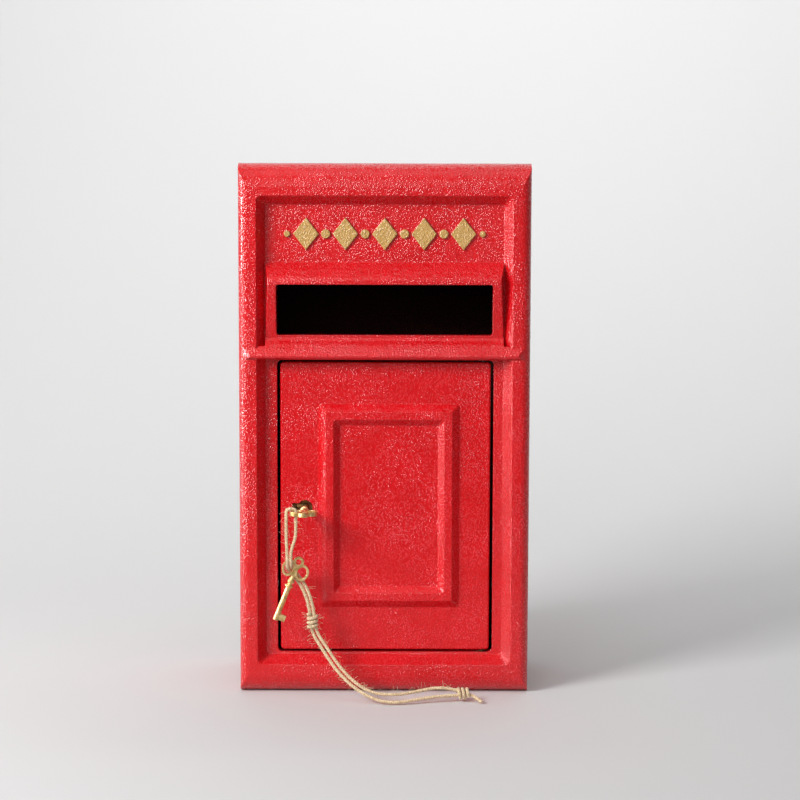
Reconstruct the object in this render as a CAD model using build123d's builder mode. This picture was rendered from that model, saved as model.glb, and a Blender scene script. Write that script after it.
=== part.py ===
"""Cast iron letter box with a hinged door, a lock, and two keys on a doubled twine.

Millimetres, +Z up, front towards -Y.
"""

import os
from math import cos, pi, radians, sin, tan

from build123d import *

os.makedirs("parts", exist_ok=True)

# Whole box
BOX_W = 208.0
BOX_H = 381.0
CREST_Y = -55.0  # front crest of the border
FIELD_Y = -45.0  # sunk field inside the border
SHELL_Y = -29.0  # joint between front casting and body
BACK_Y = 55.0
BACK_T = 4.0
SHELL_T = 4.0
SHELL_INSET = 2.0

# Front casting
PLATE_T = 6.0
SIDE_ROUND = 7.0
TOP_ROUND = 17.0
FOOT_ROUND = 14.0
POCKET_W = BOX_W - 26.0  # at the crest
POCKET_BOTTOM = 21.0
POCKET_TOP = BOX_H - 23.0
POCKET_SLOPE = 6.0
HOOD_BACK_W = POCKET_W - 11.0
HOOD_FRONT_W = HOOD_BACK_W - 6.0
SLOT_W = HOOD_FRONT_W - 11.0
SLOT_H = 36.5
SLOT_TOP = POCKET_TOP - 62.5
SLOT_BOTTOM = SLOT_TOP - SLOT_H
LEDGE_HALF = BOX_W / 2 - 3.0
ORNAMENT_Z = POCKET_TOP - 27.0
ORNAMENT_RISE = 1.6

# Door and its opening
DOOR_L = 29.3 - BOX_W / 2
DOOR_R = BOX_W / 2 - 28.0
DOOR_BOTTOM = 30.1
DOOR_TOP = SLOT_BOTTOM - 19.6
DOOR_Y = -44.5
DOOR_T = 6.0
DOOR_CORNER = 2.5
SIDE_GAP = 2.2
FOOT_GAP = 1.6
TOP_GAP = 1.6
MOULD_L = DOOR_L + 27.2
MOULD_R = DOOR_R - 21.9
MOULD_BOTTOM = DOOR_BOTTOM + 31.3
MOULD_TOP = DOOR_TOP - 30.0
MOULD_RISE = 5.0
MOULD_BAND = 15.5

# Hinge
HINGE_X = DOOR_R - 4.3
HINGE_Y = DOOR_Y + DOOR_T / 2
PIN_R = 2.0
PIN_RUN = 0.05
PIN_IN_DOOR = 14.0
PIN_IN_FRAME = 11.0

# Lock
KEY_X = DOOR_L + 17.7
KEY_Z = 134.0
DOOR_BACK = DOOR_Y + DOOR_T
CASE_L = DOOR_L + 1.2
CASE_R = CASE_L + 46.5
CASE_BOTTOM = KEY_Z - 13.5
CASE_TOP = KEY_Z + 17.5
CASE_DEPTH = 8.5
CASE_WALL = 1.5
EAR = 7.0
COVER_T = 1.2
BOLT_LOW = KEY_Z + 4.2
BOLT_H = 8.8
BOLT_T = 3.0
BOLT_Y = DOOR_BACK + 2.9  # middle of the bolt's thickness
BOLT_L = CASE_L - 0.3
BOLT_R = CASE_R - 3.0
BOLT_RUN = 0.1
BOLT_THROW = 8.0
STUD_X = CASE_R - 14.0
STUD_R = 1.2
SCREW_R = 1.5
SCREW_HEAD_R = 2.7

# Keys
KEY_LONG = 49.0
SHANK_R = 2.0
BARREL_R = 1.05
BARREL_DEEP = 12.0
DRILL_R = 1.0
BIT_REACH = 6.4
BIT_T = 2.4
BIT_FROM = 0.8
BIT_LONG = 4.6
KEY_TIP_Y = -31.0
SPARE_TIP = (KEY_X - 20.6, -66.0, 56.5)
SPARE_LEAN = 22.0
BOW_T = 3.0
RING_X = 5.0
RING_Z = 38.7
RING_HALF_W = 4.9
RING_HALF_H = 5.9
RING_WALL = 1.6

# Twine
TWINE_D = 2.5
PAIR = 1.35  # half the spacing of the two strands

# Fixings
FRAME_SCREW_X = BOX_W / 2 - 13.0
FRAME_SCREW_Z = (11.0, BOX_H - 11.0)
FRAME_SCREW_R = 2.5
WALL_HOLE_X = BOX_W / 2 - 34.0
WALL_HOLE_Z = (60.0, BOX_H - 61.0)
WALL_HOLE_R = 4.0


# The sloping hood round the slot and the string course below it, cast in one with the front
with BuildPart() as hood_form:
    with BuildSketch(Plane.YZ):
        with BuildLine():
            Polyline(
                (FIELD_Y + 1, SLOT_TOP + 15.5), (FIELD_Y, SLOT_TOP + 15.5), (FIELD_Y - 11.3, SLOT_TOP + 4.7),
                (FIELD_Y - 12.2, SLOT_TOP + 3.1), (FIELD_Y - 12.2, SLOT_TOP), (FIELD_Y - 3, SLOT_BOTTOM - 3),
                (FIELD_Y - 2.2, SLOT_BOTTOM - 4.5), (FIELD_Y + 1, SLOT_BOTTOM - 7), close=True,
            )
        make_face()
    extrude(amount=HOOD_BACK_W / 2, both=True)
    with BuildSketch(Plane.XY.offset(SLOT_BOTTOM - 9)):
        for side in (-1, 1):
            with BuildLine():
                Polyline(
                    (side * HOOD_FRONT_W / 2, FIELD_Y - 13), (side * HOOD_BACK_W / 2, FIELD_Y),
                    (side * (HOOD_BACK_W / 2 + 2), FIELD_Y), (side * (HOOD_BACK_W / 2 + 2), FIELD_Y - 13),
                    close=True,
                )
            make_face()
    extrude(amount=SLOT_H + 28.5, mode=Mode.SUBTRACT)

with BuildPart() as ledge_form:
    with BuildSketch(Plane.YZ):
        with BuildLine():
            Polyline(
                (FIELD_Y + 1, SLOT_BOTTOM + 1), (FIELD_Y - 2, SLOT_BOTTOM), (FIELD_Y - 4.5, SLOT_BOTTOM - 3.8),
                (FIELD_Y - 7.5, SLOT_BOTTOM - 6.4), (FIELD_Y - 10.5, SLOT_BOTTOM - 9.8),
                (FIELD_Y - 12.6, SLOT_BOTTOM - 13), (FIELD_Y - 13, SLOT_BOTTOM - 14.4),
                (FIELD_Y - 12.2, SLOT_BOTTOM - 15.8), (FIELD_Y - 9, SLOT_BOTTOM - 17.1),
                (FIELD_Y + 1, SLOT_BOTTOM - 17.4), close=True,
            )
        make_face()
    extrude(amount=LEDGE_HALF, both=True)
    with BuildSketch(Plane.XY.offset(SLOT_BOTTOM - 19)):
        for side in (-1, 1):
            with BuildLine():
                Polyline(
                    (side * (LEDGE_HALF - 7), FIELD_Y - 14), (side * LEDGE_HALF, FIELD_Y - 8.75),
                    (side * (LEDGE_HALF + 1), FIELD_Y - 8.75), (side * (LEDGE_HALF + 1), FIELD_Y - 14),
                    close=True,
                )
            make_face()
    extrude(amount=21, mode=Mode.SUBTRACT)
    with BuildSketch(Plane.XY.offset(SLOT_BOTTOM - 7.5)):
        with Locations((7.5 - LEDGE_HALF, FIELD_Y - 7), (LEDGE_HALF - 7.5, FIELD_Y - 7)):
            Rectangle(17, 16)
    extrude(amount=12, mode=Mode.SUBTRACT)

# Front casting: border, sunk field, hood over the slot, string course, doorway, hinge lugs
with BuildPart() as front_frame:
    half = BOX_W / 2
    with BuildSketch(Plane.XY):
        with BuildLine():
            Polyline(
                (-half, CREST_Y + SIDE_ROUND), (-half, SHELL_Y), (half, SHELL_Y), (half, CREST_Y + SIDE_ROUND)
            )
            RadiusArc((half, CREST_Y + SIDE_ROUND), (half - SIDE_ROUND, CREST_Y), SIDE_ROUND)
            Line((half - SIDE_ROUND, CREST_Y), (-half + SIDE_ROUND, CREST_Y))
            RadiusArc((-half + SIDE_ROUND, CREST_Y), (-half, CREST_Y + SIDE_ROUND), SIDE_ROUND)
        make_face()
    extrude(amount=BOX_H)
    with BuildSketch(Plane.YZ):
        with BuildLine():
            Line((CREST_Y, BOX_H - TOP_ROUND), (CREST_Y - 1, BOX_H - TOP_ROUND))
            Polyline(
                (CREST_Y - 1, BOX_H - TOP_ROUND), (CREST_Y - 1, BOX_H + 1),
                (CREST_Y + TOP_ROUND, BOX_H + 1), (CREST_Y + TOP_ROUND, BOX_H),
            )
            RadiusArc((CREST_Y + TOP_ROUND, BOX_H), (CREST_Y, BOX_H - TOP_ROUND), -TOP_ROUND)
        make_face()
        with BuildLine():
            Polyline(
                (CREST_Y, FOOT_ROUND), (CREST_Y - 1, FOOT_ROUND), (CREST_Y - 1, -1),
                (CREST_Y + FOOT_ROUND, -1), (CREST_Y + FOOT_ROUND, 0),
            )
            RadiusArc((CREST_Y + FOOT_ROUND, 0), (CREST_Y, FOOT_ROUND), FOOT_ROUND)
        make_face()
    extrude(amount=half + 1, both=True, mode=Mode.SUBTRACT)
    pocket_mid = (POCKET_BOTTOM + POCKET_TOP) / 2
    pocket_h = POCKET_TOP - POCKET_BOTTOM
    with BuildSketch(Plane.XZ.offset(-CREST_Y)):
        with Locations((0, pocket_mid)):
            RectangleRounded(POCKET_W, pocket_h, 4)
    with BuildSketch(Plane.XZ.offset(-FIELD_Y)):
        with Locations((0, pocket_mid)):
            RectangleRounded(POCKET_W - 2 * POCKET_SLOPE, pocket_h - 2 * POCKET_SLOPE, 3)
    loft(mode=Mode.SUBTRACT)
    add(hood_form.part)
    add(ledge_form.part)
    with BuildSketch(Plane.XZ.offset(-FIELD_Y)):
        with Locations(*[((i - 2) * 28.0, ORNAMENT_Z) for i in range(5)]):
            Polygon((-9, 0), (0, 11.5), (9, 0), (0, -11.5), align=None)
        with Locations(*[((i - 1.5) * 28.0, ORNAMENT_Z) for i in range(4)]):
            Circle(3.2)
        with Locations((-69.5, ORNAMENT_Z), (69.5, ORNAMENT_Z)):
            Circle(2.2)
    extrude(amount=ORNAMENT_RISE)
    with BuildSketch(Plane.XZ.offset(-SHELL_Y)):
        with Locations((0, BOX_H / 2)):
            RectangleRounded(BOX_W - 12, BOX_H - 12, 5)
    extrude(amount=SHELL_Y - FIELD_Y - PLATE_T, mode=Mode.SUBTRACT)
    with BuildSketch(Plane.XZ.offset(-(FIELD_Y + PLATE_T))):
        with Locations((0, BOX_H / 2)):
            RectangleRounded(BOX_W - 14, BOX_H - 24, 4)
            RectangleRounded(POCKET_W - 6, pocket_h - 4, 4, mode=Mode.SUBTRACT)
    extrude(amount=9, mode=Mode.SUBTRACT)
    with BuildSketch(Plane.YZ):
        with BuildLine():
            Polyline(
                (FIELD_Y + PLATE_T, SLOT_TOP + 11), (FIELD_Y, SLOT_TOP + 11), (FIELD_Y - 8.4, SLOT_TOP + 3.1),
                (FIELD_Y - 9.2, SLOT_TOP), (FIELD_Y - 9.2, SLOT_TOP - 5.5), (FIELD_Y + PLATE_T, SLOT_TOP - 5.5),
                close=True,
            )
        make_face()
    extrude(amount=SLOT_W / 2, both=True, mode=Mode.SUBTRACT)
    with BuildSketch(Plane.XZ.offset(60)):
        with Locations((0, (SLOT_BOTTOM + SLOT_TOP) / 2)):
            RectangleRounded(SLOT_W, SLOT_TOP - SLOT_BOTTOM, 2)
    extrude(amount=-23, mode=Mode.SUBTRACT)
    with BuildSketch(Plane.XZ.offset(60)):
        with Locations(((DOOR_L + DOOR_R) / 2, (DOOR_BOTTOM - FOOT_GAP + DOOR_TOP + TOP_GAP) / 2)):
            RectangleRounded(
                DOOR_R - DOOR_L + 2 * SIDE_GAP, DOOR_TOP - DOOR_BOTTOM + FOOT_GAP + TOP_GAP, DOOR_CORNER + 1
            )
    extrude(amount=-23, mode=Mode.SUBTRACT)
    # lugs for the two hinge pins, on the back of the plate
    with Locations((HINGE_X, FIELD_Y + PLATE_T - 1, DOOR_TOP + TOP_GAP + 0.2)):
        Box(12, 6, PIN_IN_FRAME + 1, align=(Align.CENTER, Align.MIN, Align.MIN))
    with Locations((HINGE_X, FIELD_Y + 0.5, DOOR_BOTTOM - FOOT_GAP - 0.2)):
        Box(12, 10.5, PIN_IN_FRAME + 1, align=(Align.CENTER, Align.MIN, Align.MAX))
    for z, way in ((DOOR_TOP + TOP_GAP, 1), (DOOR_BOTTOM - FOOT_GAP, -1)):
        with Locations((HINGE_X, HINGE_Y, z + way * (PIN_IN_FRAME / 2 - 1))):
            Cylinder(PIN_R, PIN_IN_FRAME + 2, mode=Mode.SUBTRACT)
    # strike pad that the bolt slides behind
    with Locations((DOOR_L - SIDE_GAP - 4.4, FIELD_Y + PLATE_T - 1, BOLT_LOW + BOLT_H / 2)):
        Box(8, 2.6, 24, align=(Align.CENTER, Align.MIN, Align.CENTER))
    # corner posts that take the body screws
    for x in (-FRAME_SCREW_X, FRAME_SCREW_X):
        for z in FRAME_SCREW_Z:
            with Locations((x, SHELL_Y, z)):
                Cylinder(6, 14, rotation=(90, 0, 0), align=(Align.CENTER, Align.CENTER, Align.MIN))
            with Locations((x, SHELL_Y, z)):
                Cylinder(
                    FRAME_SCREW_R, 11, rotation=(90, 0, 0), align=(Align.CENTER, Align.CENTER, Align.MIN),
                    mode=Mode.SUBTRACT,
                )
front_frame.part.label = "front_frame"

# Body: a four-sided casting with an inward lip at the front and bosses at the back
SHELL_W = BOX_W - 2 * SHELL_INSET
SHELL_H = BOX_H - SHELL_INSET
with BuildPart() as body_shell:
    shell_mid = SHELL_H / 2
    with BuildSketch(Plane.XZ.offset(-SHELL_Y)):
        with Locations((0, shell_mid)):
            RectangleRounded(SHELL_W, SHELL_H, 6)
    extrude(amount=-(BACK_Y - BACK_T - SHELL_Y))
    with BuildSketch(Plane.XZ.offset(-SHELL_Y - SHELL_T)):
        with Locations((0, shell_mid)):
            RectangleRounded(SHELL_W - 2 * SHELL_T, SHELL_H - 2 * SHELL_T, 4)
    extrude(amount=-(BACK_Y - BACK_T - SHELL_Y - SHELL_T), mode=Mode.SUBTRACT)
    with BuildSketch(Plane.XZ.offset(-SHELL_Y)):
        with Locations((0, shell_mid)):
            RectangleRounded(SHELL_W - 36, SHELL_H - 36, 8)
    extrude(amount=-SHELL_T, mode=Mode.SUBTRACT)
    for x in (-FRAME_SCREW_X, FRAME_SCREW_X):
        for z in FRAME_SCREW_Z:
            with Locations((x, SHELL_Y, z)):
                Cylinder(FRAME_SCREW_R + 0.4, 20, rotation=(90, 0, 0), mode=Mode.SUBTRACT)
            with Locations((x, BACK_Y - BACK_T, z)):
                Cylinder(8.5, 16, rotation=(90, 0, 0), align=(Align.CENTER, Align.CENTER, Align.MIN))
            with Locations((x, BACK_Y - BACK_T, z)):
                Cylinder(
                    FRAME_SCREW_R, 13, rotation=(90, 0, 0), align=(Align.CENTER, Align.CENTER, Align.MIN),
                    mode=Mode.SUBTRACT,
                )
body_shell.part.label = "body_shell"

# Back plate with four holes for fixing to a wall
with BuildPart() as back_plate:
    with BuildSketch(Plane.XZ.offset(-(BACK_Y - BACK_T))):
        with Locations((0, SHELL_H / 2)):
            RectangleRounded(SHELL_W, SHELL_H, 6)
        with Locations(*[(x, z) for x in (-WALL_HOLE_X, WALL_HOLE_X) for z in WALL_HOLE_Z]):
            Circle(WALL_HOLE_R, mode=Mode.SUBTRACT)
        with Locations(*[(x, z) for x in (-FRAME_SCREW_X, FRAME_SCREW_X) for z in FRAME_SCREW_Z]):
            Circle(FRAME_SCREW_R + 0.4, mode=Mode.SUBTRACT)
    extrude(amount=-BACK_T)
    for x in (-FRAME_SCREW_X, FRAME_SCREW_X):
        for z in FRAME_SCREW_Z:
            with Locations((x, BACK_Y, z)):
                Cone(
                    FRAME_SCREW_R + 0.4, 5.2, 2.6, rotation=(-90, 0, 0),
                    align=(Align.CENTER, Align.CENTER, Align.MAX), mode=Mode.SUBTRACT,
                )
back_plate.part.label = "back_plate"

# Four pan-head screws from inside the body into the front casting
with BuildPart() as frame_screws:
    for x in (-FRAME_SCREW_X, FRAME_SCREW_X):
        for z in FRAME_SCREW_Z:
            with Locations((x, SHELL_Y + SHELL_T, z)):
                Cylinder(
                    FRAME_SCREW_R, SHELL_T + 10, rotation=(90, 0, 0), align=(Align.CENTER, Align.CENTER, Align.MIN)
                )
                Cylinder(4.4, 3, rotation=(90, 0, 0), align=(Align.CENTER, Align.CENTER, Align.MAX))
            with Locations((x, SHELL_Y + SHELL_T + 3, z)):
                Box(6.6, 2.0, 1.1, mode=Mode.SUBTRACT)
frame_screws.part.label = "frame_screws"

# Four countersunk screws that hold the back plate to the body
with BuildPart() as back_screws:
    for x in (-FRAME_SCREW_X, FRAME_SCREW_X):
        for z in FRAME_SCREW_Z:
            with Locations((x, BACK_Y - BACK_T, z)):
                Cylinder(FRAME_SCREW_R, 12, rotation=(90, 0, 0), align=(Align.CENTER, Align.CENTER, Align.MIN))
            with Locations((x, BACK_Y, z)):
                Cylinder(FRAME_SCREW_R, 6, rotation=(90, 0, 0), align=(Align.CENTER, Align.CENTER, Align.MIN))
                Cone(
                    FRAME_SCREW_R, 4.8, 2.4, rotation=(-90, 0, 0),
                    align=(Align.CENTER, Align.CENTER, Align.MAX),
                )
                Box(7.0, 1.6, 1.1, mode=Mode.SUBTRACT)
back_screws.part.label = "back_screws"

# Door: a cast leaf with a raised moulding, a keyhole and a thicker hinge edge
door_mid = ((DOOR_L + DOOR_R) / 2, (DOOR_BOTTOM + DOOR_TOP) / 2)
mould_mid = ((MOULD_L + MOULD_R) / 2, (MOULD_BOTTOM + MOULD_TOP) / 2)
mould_w = MOULD_R - MOULD_L
mould_h = MOULD_TOP - MOULD_BOTTOM
with BuildPart() as door:
    with BuildSketch(Plane.XZ.offset(-DOOR_Y)):
        with Locations(door_mid):
            RectangleRounded(DOOR_R - DOOR_L, DOOR_TOP - DOOR_BOTTOM, DOOR_CORNER)
    extrude(amount=-DOOR_T)
    chamfer(door.faces().sort_by(Axis.Y)[0].edges(), 0.8)
    with BuildSketch(Plane.XZ.offset(-DOOR_Y)):
        with Locations(mould_mid):
            RectangleRounded(mould_w, mould_h, 2.5)
    with BuildSketch(Plane.XZ.offset(-DOOR_Y + MOULD_RISE)):
        with Locations(mould_mid):
            RectangleRounded(mould_w - 11, mould_h - 11, 1.5)
    loft()
    with BuildSketch(Plane.XZ.offset(-DOOR_Y + MOULD_RISE)):
        with Locations(mould_mid):
            RectangleRounded(mould_w - 2 * MOULD_BAND + 9, mould_h - 2 * MOULD_BAND + 9, 2)
    with BuildSketch(Plane.XZ.offset(-DOOR_Y)):
        with Locations(mould_mid):
            RectangleRounded(mould_w - 2 * MOULD_BAND, mould_h - 2 * MOULD_BAND, 1)
    loft(mode=Mode.SUBTRACT)
    with Locations((DOOR_R, DOOR_BACK - 0.5, door_mid[1])):
        Box(9, 2.5, DOOR_TOP - DOOR_BOTTOM - 6, align=(Align.MAX, Align.MIN, Align.CENTER))
    for z, way in ((DOOR_TOP, -1), (DOOR_BOTTOM, 1)):
        with Locations((HINGE_X, HINGE_Y, z + way * (PIN_IN_DOOR / 2 - 1))):
            Cylinder(PIN_R + PIN_RUN, PIN_IN_DOOR + 2.6, mode=Mode.SUBTRACT)
    with BuildSketch(Plane.XZ.offset(60)):
        with Locations((KEY_X, KEY_Z)):
            Circle(5.4)
        with Locations((KEY_X, KEY_Z)):
            Rectangle(9.2, 6.5, align=(Align.MAX, Align.CENTER))
    extrude(amount=-23, mode=Mode.SUBTRACT)
    for x in (CASE_L + 6.5, CASE_R - 7):
        for z in (CASE_BOTTOM - EAR / 2, CASE_TOP + EAR / 2):
            with Locations((x, DOOR_BACK, z)):
                Cylinder(
                    SCREW_R, 4, rotation=(90, 0, 0), align=(Align.CENTER, Align.CENTER, Align.MIN),
                    mode=Mode.SUBTRACT,
                )
door.part.label = "door"

# Two plain steel pins that the door turns on, driven into the front casting
with BuildPart() as hinge_pin_upper:
    with Locations((HINGE_X, HINGE_Y, DOOR_TOP - PIN_IN_DOOR + 0.5)):
        Cylinder(
            PIN_R, PIN_IN_DOOR + TOP_GAP + PIN_IN_FRAME - 0.5, align=(Align.CENTER, Align.CENTER, Align.MIN)
        )
    chamfer(hinge_pin_upper.edges(), 0.4)
hinge_pin_upper.part.label = "hinge_pin_upper"

with BuildPart() as hinge_pin_lower:
    with Locations((HINGE_X, HINGE_Y, DOOR_BOTTOM + PIN_IN_DOOR - 0.5)):
        Cylinder(
            PIN_R, PIN_IN_DOOR + FOOT_GAP + PIN_IN_FRAME - 0.5, align=(Align.CENTER, Align.CENTER, Align.MAX)
        )
    chamfer(hinge_pin_lower.edges(), 0.4)
hinge_pin_lower.part.label = "hinge_pin_lower"

# Washer that carries the door on the lower lug
with BuildPart() as hinge_washer:
    with BuildSketch(Plane.XY.offset(DOOR_BOTTOM - FOOT_GAP)):
        with Locations((HINGE_X, HINGE_Y)):
            Circle(2.9)
            Circle(PIN_R + 0.05, mode=Mode.SUBTRACT)
    extrude(amount=FOOT_GAP - 0.05)
hinge_washer.part.label = "hinge_washer"

# Lock case: a shallow cast box with a wider front plate, screwed to the back of the door
case_front = DOOR_BACK + COVER_T
case_back = DOOR_BACK + CASE_DEPTH
case_mid = ((CASE_L + CASE_R) / 2, (CASE_BOTTOM + CASE_TOP) / 2)
case_w = CASE_R - CASE_L
case_h = CASE_TOP - CASE_BOTTOM
with BuildPart() as lock_case:
    with BuildSketch(Plane.XZ.offset(-DOOR_BACK)):
        with Locations(case_mid):
            RectangleRounded(case_w, case_h + 2 * EAR, 3)
    extrude(amount=-COVER_T)
    with BuildSketch(Plane.XZ.offset(-case_front)):
        with Locations(case_mid):
            Rectangle(case_w, case_h)
            Rectangle(case_w - 2 * CASE_WALL, case_h - 2 * CASE_WALL, mode=Mode.SUBTRACT)
    extrude(amount=-(CASE_DEPTH - COVER_T))
    for x in (CASE_L + 3.2, CASE_R - 3.2):
        with Locations((x, case_front, CASE_BOTTOM + 3.2)):
            Cylinder(
                2.4, CASE_DEPTH - COVER_T, rotation=(90, 0, 0), align=(Align.CENTER, Align.CENTER, Align.MAX)
            )
        with Locations((x, case_back, CASE_BOTTOM + 3.2)):
            Cylinder(
                1.1, 5, rotation=(90, 0, 0), align=(Align.CENTER, Align.CENTER, Align.MIN), mode=Mode.SUBTRACT
            )
    with Locations((STUD_X, case_front, BOLT_LOW + BOLT_H / 2)):
        Cylinder(
            STUD_R, CASE_DEPTH - COVER_T, rotation=(90, 0, 0), align=(Align.CENTER, Align.CENTER, Align.MAX)
        )
    with Locations((CASE_L, BOLT_Y, BOLT_LOW + BOLT_H / 2)):
        Box(8, BOLT_T + 2 * BOLT_RUN, BOLT_H + 2 * BOLT_RUN, mode=Mode.SUBTRACT)
    with BuildSketch(Plane.XZ.offset(-DOOR_BACK + 1)):
        with Locations((KEY_X, KEY_Z)):
            Circle(SHANK_R + 0.3)
            Rectangle(BIT_REACH + 0.5, BIT_T + 0.5, align=(Align.MAX, Align.CENTER))
    extrude(amount=-(COVER_T + 1.5), mode=Mode.SUBTRACT)
    for x in (CASE_L + 6.5, CASE_R - 7):
        for z in (CASE_BOTTOM - EAR / 2, CASE_TOP + EAR / 2):
            with Locations((x, DOOR_BACK, z)):
                Cylinder(SCREW_R + 0.2, 6, rotation=(90, 0, 0), mode=Mode.SUBTRACT)
lock_case.part.label = "lock_case"

# Sheet cover that closes the back of the lock
with BuildPart() as lock_cover:
    with BuildSketch(Plane.XZ.offset(-case_back)):
        with Locations(case_mid):
            Rectangle(case_w, case_h)
        with Locations((KEY_X, KEY_Z)):
            Circle(DRILL_R, mode=Mode.SUBTRACT)
        with Locations(*[(x, CASE_BOTTOM + 3.2) for x in (CASE_L + 3.2, CASE_R - 3.2)]):
            Circle(1.35, mode=Mode.SUBTRACT)
    extrude(amount=-COVER_T)
lock_cover.part.label = "lock_cover"

# Drill pin riveted in the cover: the hollow key turns on it
with BuildPart() as drill_pin:
    with Locations((KEY_X, case_back + COVER_T, KEY_Z)):
        Cylinder(DRILL_R, 10.4, rotation=(90, 0, 0), align=(Align.CENTER, Align.CENTER, Align.MIN))
        Cylinder(1.8, 0.8, rotation=(90, 0, 0), align=(Align.CENTER, Align.CENTER, Align.MAX))
drill_pin.part.label = "drill_pin"

# Bolt with the notch that the key's bit catches and a slot for the guide stud
with BuildPart() as lock_bolt:
    with BuildSketch(Plane.XZ.offset(-(BOLT_Y - BOLT_T / 2))):
        with Locations((BOLT_L, BOLT_LOW)):
            Rectangle(BOLT_R - BOLT_L, BOLT_H, align=(Align.MIN, Align.MIN))
        with Locations((KEY_X + 1, BOLT_LOW - 1)):
            Rectangle(10, 3.8, align=(Align.MIN, Align.MIN), mode=Mode.SUBTRACT)
        with Locations((STUD_X - STUD_R - 0.2, BOLT_LOW + BOLT_H / 2)):
            Rectangle(
                BOLT_THROW + 2 * STUD_R + 0.4, 2 * STUD_R + 0.2, align=(Align.MIN, Align.CENTER),
                mode=Mode.SUBTRACT,
            )
    extrude(amount=-BOLT_T)
lock_bolt.part.label = "lock_bolt"

# Bowed leaf spring between the lock case and the top of the bolt
bolt_top = BOLT_LOW + BOLT_H
case_roof = CASE_TOP - CASE_WALL
SPRING_X = CASE_L + 21.5
with BuildPart() as bolt_spring:
    with BuildSketch(Plane.XZ.offset(-(BOLT_Y - 1.2))):
        with BuildLine():
            ThreePointArc((SPRING_X - 16, case_roof), (SPRING_X, bolt_top + 0.1), (SPRING_X + 16, case_roof))
            Line((SPRING_X + 16, case_roof), (SPRING_X + 13.4, case_roof))
            ThreePointArc((SPRING_X + 13.4, case_roof), (SPRING_X, bolt_top + 0.5), (SPRING_X - 13.4, case_roof))
            Line((SPRING_X - 13.4, case_roof), (SPRING_X - 16, case_roof))
        make_face()
    extrude(amount=-2.4)
bolt_spring.part.label = "bolt_spring"

# Four screws that hold the lock to the door
with BuildPart() as lock_screws:
    for x in (CASE_L + 6.5, CASE_R - 7):
        for z in (CASE_BOTTOM - EAR / 2, CASE_TOP + EAR / 2):
            with Locations((x, case_front, z)):
                Cylinder(
                    SCREW_R, COVER_T + 3.6, rotation=(90, 0, 0), align=(Align.CENTER, Align.CENTER, Align.MIN)
                )
                Cylinder(
                    SCREW_HEAD_R, 1.8, rotation=(90, 0, 0), align=(Align.CENTER, Align.CENTER, Align.MAX)
                )
            with Locations((x, case_front + 1.8, z)):
                Box(4.2, 1.2, 0.8, mode=Mode.SUBTRACT)
lock_screws.part.label = "lock_screws"

# Two small screws that hold the cover on the lock case
with BuildPart() as cover_screws:
    for x in (CASE_L + 3.2, CASE_R - 3.2):
        with Locations((x, case_back + COVER_T, CASE_BOTTOM + 3.2)):
            Cylinder(1.1, COVER_T + 4.6, rotation=(90, 0, 0), align=(Align.CENTER, Align.CENTER, Align.MIN))
            Cylinder(2.0, 1.2, rotation=(90, 0, 0), align=(Align.CENTER, Align.CENTER, Align.MAX))
        with Locations((x, case_back + COVER_T + 1.2, CASE_BOTTOM + 3.2)):
            Box(3.2, 1.0, 0.6, mode=Mode.SUBTRACT)
cover_screws.part.label = "cover_screws"

# Key pattern: hollow shank up +Z from its tip, bit towards +X, three-ring bow at the top
with BuildPart() as key_pattern:
    with BuildSketch(Plane.XZ):
        with BuildLine():
            Polyline(
                (0, 0), (SHANK_R, 0), (SHANK_R, 25.4), (2.9, 25.8), (3.1, 26.4), (2.9, 27.0), (1.9, 27.5),
                (1.8, 28.2), (2.5, 29.6), (2.5, 30.6), (1.9, 31.6), (1.7, 34.0), (0, 34.0), close=True,
            )
        make_face()
    revolve(axis=Axis.Z)
    with BuildSketch(Plane.XZ.offset(-BOW_T / 2)):
        with Locations((-RING_X, RING_Z), (RING_X, RING_Z)):
            Ellipse(RING_HALF_W, RING_HALF_H)
        with Locations((0, RING_Z + 6.5)):
            Circle(3.8)
        with Locations((0, 37.0)):
            Rectangle(2.6, 12)
        with Locations((-RING_X, RING_Z), (RING_X, RING_Z)):
            Ellipse(RING_HALF_W - RING_WALL, RING_HALF_H - RING_WALL, mode=Mode.SUBTRACT)
        with Locations((0, RING_Z + 6.5)):
            Circle(2.0, mode=Mode.SUBTRACT)
    extrude(amount=BOW_T)
    with Locations((0, 0, BIT_FROM)):
        Box(BIT_REACH, BIT_T, BIT_LONG, align=(Align.MIN, Align.CENTER, Align.MIN))
    with Locations((0, 0, -0.01)):
        Cylinder(BARREL_R, BARREL_DEEP, align=(Align.CENTER, Align.CENTER, Align.MIN), mode=Mode.SUBTRACT)

with BuildPart() as key:
    key_place = Plane(origin=(KEY_X, KEY_TIP_Y, KEY_Z), x_dir=(-1, 0, 0), z_dir=(0, -1, 0))
    add(key_pattern.part.moved(key_place.location))
key.part.label = "key"

with BuildPart() as spare_key:
    lean = radians(SPARE_LEAN)
    spare_place = Plane(origin=SPARE_TIP, x_dir=(cos(lean), 0, -sin(lean)), z_dir=(sin(lean), 0, cos(lean)))
    add(key_pattern.part.moved(spare_place.location))
spare_key.part.label = "spare_key"


# Twine routes
def bend_radii(points, share=0.45):
    """Arc radius at each inner point of a route."""
    radii = []
    for a, b, c in zip(points, points[1:], points[2:]):
        p, q = Vector(*b) - Vector(*a), Vector(*c) - Vector(*b)
        half_turn = radians(p.get_angle(q)) / 2
        radii.append(share * min(p.length, q.length) / tan(half_turn))
    return radii


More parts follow.
